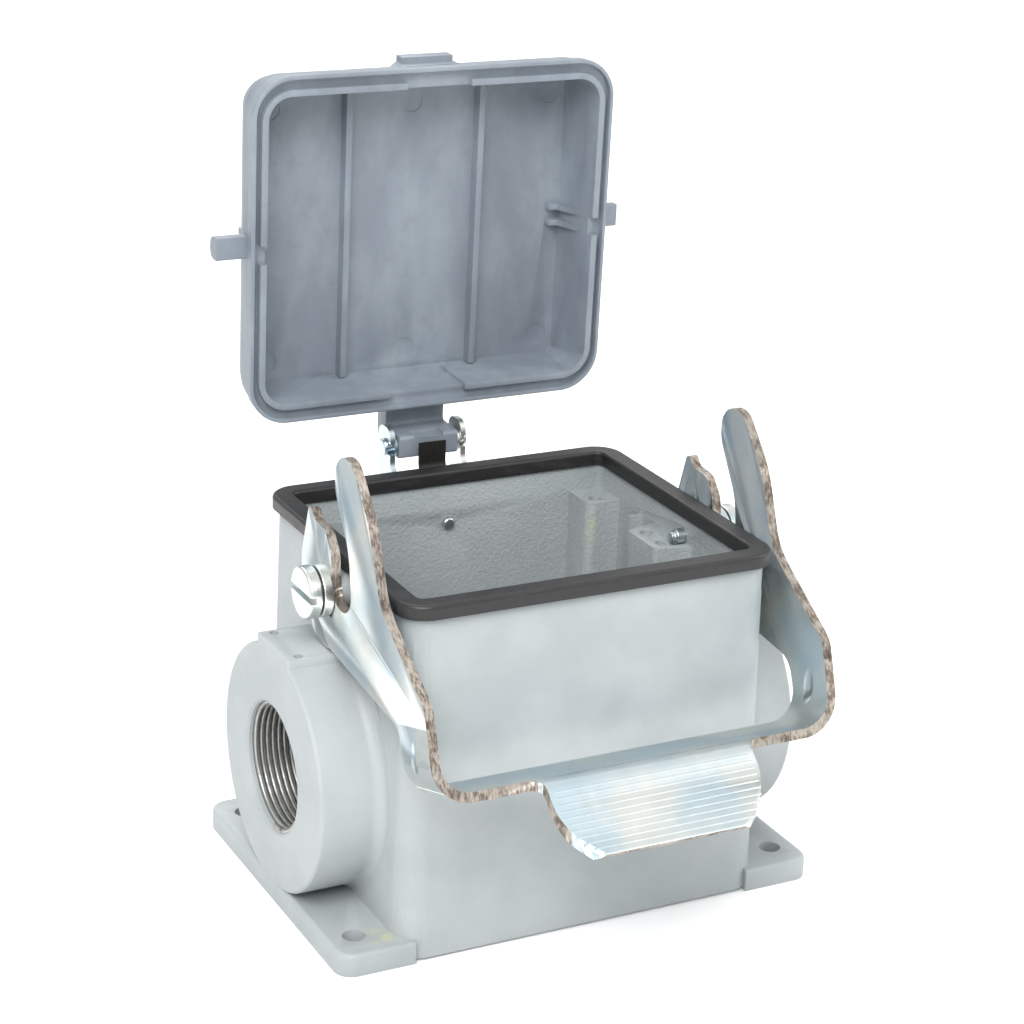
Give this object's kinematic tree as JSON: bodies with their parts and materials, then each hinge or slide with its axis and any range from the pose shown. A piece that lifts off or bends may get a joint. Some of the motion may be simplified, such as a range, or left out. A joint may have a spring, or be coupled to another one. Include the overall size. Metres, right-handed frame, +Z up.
{
  "type": "surface mount housing of a heavy duty rectangular connector",
  "caption": "Cast surface-mount connector housing with a side cable entry, sealing gasket, sprung hinged cover and a forked locking lever that hooks over the cover's pegs.",
  "frame": {"origin": "middle of the foot-hole pattern, in the plane that the housing stands on", "axes": "+X runs along the cable axis away from the tapped entry, +Y runs to the hinge side, +Z is up out of the housing's mouth"},
  "size_m": [0.1278, 0.1533, 0.1918],
  "materials": {
    "housing_casting": "grey powder coat on die-cast aluminium, fine satin grain",
    "gasket": "black moulded rubber",
    "lever_steel": "bright zinc-plated sheet with bare sheared edges",
    "zinc_plate": "zinc plated",
    "black_washer": "black",
    "cover_moulding": "grey moulded plastic, satin",
    "spring_strip": "blackened spring steel"
  },
  "bodies": {
    "housing": {"housing": "housing_casting", "rim_gasket": "gasket", "pivot_screw_left": "zinc_plate", "pivot_screw_right": "zinc_plate", "pivot_bush_left": "zinc_plate", "pivot_bush_right": "zinc_plate", "pivot_washer_left": "black_washer", "pivot_washer_right": "black_washer", "hinge_bracket": "zinc_plate", "hinge_pin": "zinc_plate", "hinge_washer_left": "zinc_plate", "hinge_washer_right": "zinc_plate", "leaf_spring": "spring_strip", "bracket_screw": "zinc_plate", "bracket_washer": "zinc_plate"},
    "lever": {"locking_lever": "lever_steel"},
    "cover": {"protective_cover": "cover_moulding"}
  },
  "joints": [
    {"name": "lever_pivot", "type": "hinge", "parent": "housing", "child": "lever", "pos_m": [0, -0.0046, 0.0807], "axis": [1, 0, 0], "range_deg": [-45, 0]},
    {"name": "cover_hinge", "type": "hinge", "parent": "housing", "child": "cover", "pos_m": [0, 0.05447, 0.09198], "axis": [1, 0, 0], "range_deg": [0, 88.13]}
  ]
}
